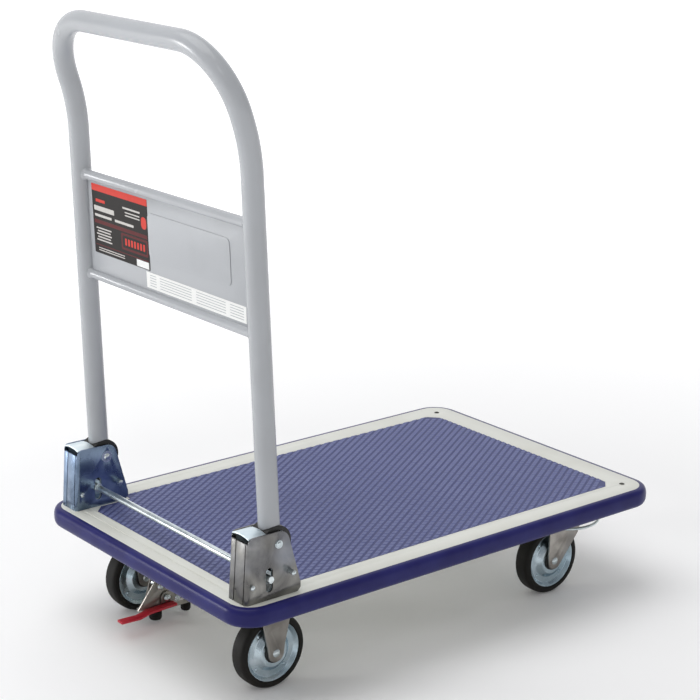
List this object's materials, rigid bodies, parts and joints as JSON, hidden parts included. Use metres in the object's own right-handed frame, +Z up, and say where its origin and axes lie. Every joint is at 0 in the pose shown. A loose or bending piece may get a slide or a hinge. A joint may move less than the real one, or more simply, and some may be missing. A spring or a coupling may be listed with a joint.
{
  "type": "platform truck",
  "caption": "Flatbed platform truck: a ribbed-mat steel deck with a fold-down tube handle, fixed and swivel casters and a foot-operated floor lock.",
  "frame": {"origin": "on the floor, under the middle of the whole truck's box", "axes": "+X to the right seen from behind the handle, +Y forward away from the handle, +Z up"},
  "size_m": [0.465, 0.7318, 0.8393],
  "materials": {
    "deck_paint": "cream powder coat, satin",
    "mat": "blue-grey ribbed vinyl mat, matt",
    "bumper": "navy blue soft PVC, satin",
    "handle_paint": "silver-grey powder coat, satin",
    "zinc": "zinc-plated pressed steel, dull",
    "bright_zinc": "bright zinc plate",
    "dark_steel": "dark plated steel",
    "resin": "black moulded resin",
    "tyre": "black rubber, matt",
    "pedal_red": "red powder coat, satin",
    "black_label": "black printed film, glossy",
    "white_label": "white printed film, glossy"
  },
  "bodies": {
    "deck": {"deck_pan": "deck_paint", "deck_mat": "mat", "bumper": "bumper", "front_channel": "deck_paint", "rear_channel": "deck_paint", "corner_screws": "dark_steel", "bracket_left": "zinc", "bracket_right": "zinc", "stop_plate_left": "bright_zinc", "stop_plate_right": "bright_zinc", "bracket_rivets": "bright_zinc", "bracket_bolts": "bright_zinc", "pivot_pin_left": "bright_zinc", "pivot_pin_right": "bright_zinc", "latch_spring_left": "zinc", "latch_spring_right": "zinc", "fork_rear_left": "zinc", "fork_rear_right": "zinc", "plate_front_left": "zinc", "plate_front_right": "zinc", "guard_ring_left": "bright_zinc", "guard_ring_right": "bright_zinc", "kingpin_left": "bright_zinc", "kingpin_right": "bright_zinc", "caster_bolts": "bright_zinc", "axle_rear_left": "bright_zinc", "axle_rear_right": "bright_zinc", "lock_carrier": "bright_zinc", "lock_bolts": "bright_zinc"},
    "handle": {"handle_tube": "handle_paint", "crossbar_upper": "handle_paint", "crossbar_lower": "handle_paint", "back_panel": "handle_paint", "product_label": "black_label", "notice_label": "white_label", "pivot_block_left": "resin", "pivot_block_right": "resin"},
    "release": {"release_rod": "bright_zinc", "rod_clips": "bright_zinc"},
    "swivel_left": {"fork_front_left": "zinc", "axle_front_left": "bright_zinc"},
    "swivel_right": {"fork_front_right": "zinc", "axle_front_right": "bright_zinc"},
    "wheel_rear_left": {"tyre_rear_left": "tyre", "disc_rear_left": "bright_zinc", "bush_rear_left": "resin"},
    "wheel_rear_right": {"tyre_rear_right": "tyre", "disc_rear_right": "bright_zinc", "bush_rear_right": "resin"},
    "wheel_front_left": {"tyre_front_left": "tyre", "disc_front_left": "bright_zinc", "bush_front_left": "resin"},
    "wheel_front_right": {"tyre_front_right": "tyre", "disc_front_right": "bright_zinc", "bush_front_right": "resin"},
    "foot": {"lock_foot": "bright_zinc", "lock_pads": "tyre"},
    "pedal": {"pedal_strap": "pedal_red", "pedal_arm": "bright_zinc"}
  },
  "joints": [
    {"name": "handle_fold", "type": "hinge", "parent": "deck", "child": "handle", "pos_m": [0, -0.29009, 0.2215], "axis": [-1, 0, 0], "range_deg": [0, 98]},
    {"name": "release_slide", "type": "slide", "parent": "deck", "child": "release", "axis": [0, 0, -1], "range_m": [0, 0.012], "stiffness_N_per_m": 800, "springref_m": -0.006, "deforming": ["latch_spring_left", "latch_spring_right"]},
    {"name": "swivel_turn_left", "type": "hinge", "parent": "deck", "child": "swivel_left", "pos_m": [-0.1483, 0.26341, 0.115], "axis": [0, 0, 1], "continuous": true},
    {"name": "swivel_turn_right", "type": "hinge", "parent": "deck", "child": "swivel_right", "pos_m": [0.1483, 0.26341, 0.115], "axis": [0, 0, 1], "continuous": true},
    {"name": "wheel_spin_rear_left", "type": "hinge", "parent": "deck", "child": "wheel_rear_left", "pos_m": [-0.1483, -0.2581, 0.05], "axis": [-1, 0, 0], "continuous": true},
    {"name": "wheel_spin_front_left", "type": "hinge", "parent": "swivel_left", "child": "wheel_front_left", "pos_m": [-0.1483, 0.2332, 0.05], "axis": [-1, 0, 0], "continuous": true},
    {"name": "wheel_spin_rear_right", "type": "hinge", "parent": "deck", "child": "wheel_rear_right", "pos_m": [0.1483, -0.2581, 0.05], "axis": [-1, 0, 0], "continuous": true},
    {"name": "wheel_spin_front_right", "type": "hinge", "parent": "swivel_right", "child": "wheel_front_right", "pos_m": [0.1483, 0.2332, 0.05], "axis": [-1, 0, 0], "continuous": true},
    {"name": "pedal_press", "type": "hinge", "parent": "deck", "child": "pedal", "pos_m": [-0.095, -0.25889, 0.039], "axis": [1, 0, 0], "range_deg": [0, 9.5]},
    {"name": "foot_slide", "type": "slide", "parent": "deck", "child": "foot", "axis": [0, 0, -1], "range_m": [0, 0.0048]}
  ],
  "couplings": [
    {"joint": "pedal_press", "follows": "foot_slide", "rad_per_m": 34.48}
  ]
}
